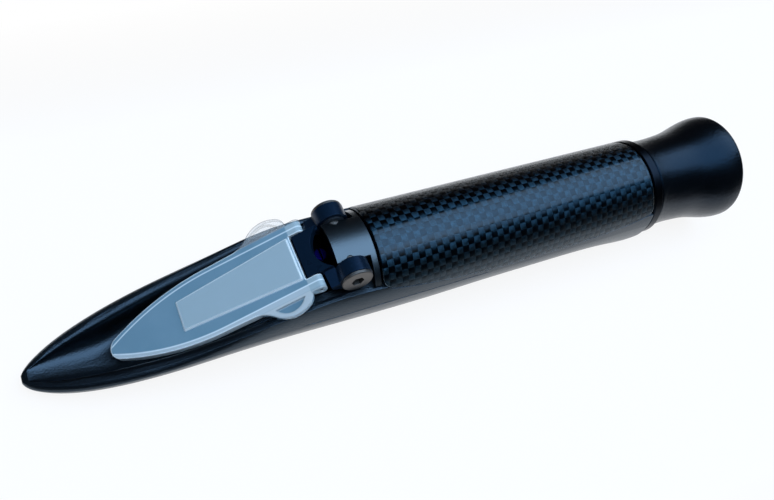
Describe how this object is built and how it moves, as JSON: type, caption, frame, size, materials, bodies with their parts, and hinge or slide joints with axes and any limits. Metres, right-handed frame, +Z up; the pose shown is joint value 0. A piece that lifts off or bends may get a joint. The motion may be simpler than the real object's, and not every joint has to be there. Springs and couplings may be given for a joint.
{
  "type": "handheld refractometer",
  "caption": "Hand instrument with a sloping prism, a hinged clear daylight plate, a woven look grip cover and a turning eyecup that focuses its scale.",
  "frame": {"origin": "on the flat of the belly, at the middle of the length and width", "axes": "+X along the optical axis to the eyecup, -X to the nose, +Y across, +Z up"},
  "size_m": [0.203, 0.0312, 0.0326],
  "materials": {
    "body_satin": "satin dark blue black anodised aluminium casting",
    "neck_satin": "satin dark blue black anodised aluminium, turned",
    "weave_gloss": "black plain weave under clear gloss lacquer",
    "ring_black": "black anodised aluminium, fine turned",
    "cup_black": "moulded black nylon with a soft sheen",
    "clear_plate": "pale blue clear polycarbonate, moulded",
    "yoke_black": "moulded blue black nylon",
    "screw_steel": "turned stainless steel",
    "washer_nylon": "moulded black nylon",
    "violet_screw": "dark violet blue anodised aluminium",
    "optical_glass": "polished optical glass",
    "seal_rubber": "moulded black nitrile rubber",
    "cell_brass": "turned brass",
    "strip_bimetal": "rolled bimetal strip",
    "tube_black": "matt black anodised aluminium",
    "clip_steel": "spring steel wire"
  },
  "bodies": {
    "frame": {"lower_body": "body_satin", "grip_cover": "weave_gloss", "prism_head": "neck_satin", "rear_ring": "ring_black", "prism": "optical_glass", "prism_gasket": "seal_rubber", "hinge_screws": "screw_steel", "hinge_washers": "washer_nylon", "compensator_strip": "strip_bimetal", "compensator_screw": "screw_steel", "inner_tube": "tube_black", "light_stop": "tube_black", "graticule_holder": "tube_black", "graticule": "optical_glass", "graticule_clip": "clip_steel", "focus_o_ring": "seal_rubber", "body_screws": "screw_steel", "rear_screw": "screw_steel"},
    "yoke": {"hinge_yoke": "yoke_black", "plate_pins": "screw_steel"},
    "plate": {"daylight_plate": "clear_plate"},
    "eyepiece": {"eyepiece_tube": "tube_black", "field_lens": "optical_glass", "lens_spacer": "tube_black", "eye_lens": "optical_glass", "eyepiece_ring": "ring_black"},
    "cup": {"eyecup": "cup_black"},
    "calibration": {"calibration_screw": "violet_screw"},
    "objective": {"objective_cell": "cell_brass", "objective_lens": "optical_glass"}
  },
  "joints": [
    {"name": "yoke_hinge", "type": "hinge", "parent": "frame", "child": "yoke", "pos_m": [-0.0227, 0, 0.0273], "axis": [0, 1, 0], "range_deg": [0, 110]},
    {"name": "plate_float", "type": "hinge", "parent": "yoke", "child": "plate", "pos_m": [-0.03155, 0, 0.02622], "axis": [0, 1, 0], "range_deg": [0, 8]},
    {"name": "focus_travel", "type": "slide", "parent": "frame", "child": "eyepiece", "axis": [1, 0, 0], "range_m": [0, 0.003]},
    {"name": "focus_turn", "type": "hinge", "parent": "eyepiece", "child": "cup", "pos_m": [0.088, 0, 0.017], "axis": [1, 0, 0], "range_deg": [0, 270]},
    {"name": "calibration_turn", "type": "hinge", "parent": "frame", "child": "calibration", "pos_m": [-0.028, 0, 0.022], "axis": [0, 0, 1], "range_deg": [-360, 360]},
    {"name": "objective_lift", "type": "slide", "parent": "frame", "child": "objective", "axis": [0, 0, 1], "range_m": [-0.0004, 0.0004]}
  ],
  "couplings": [
    {"joint": "focus_travel", "follows": "focus_turn", "m_per_rad": 0.00063598},
    {"joint": "calibration_turn", "follows": "objective_lift", "rad_per_m": -15692}
  ]
}
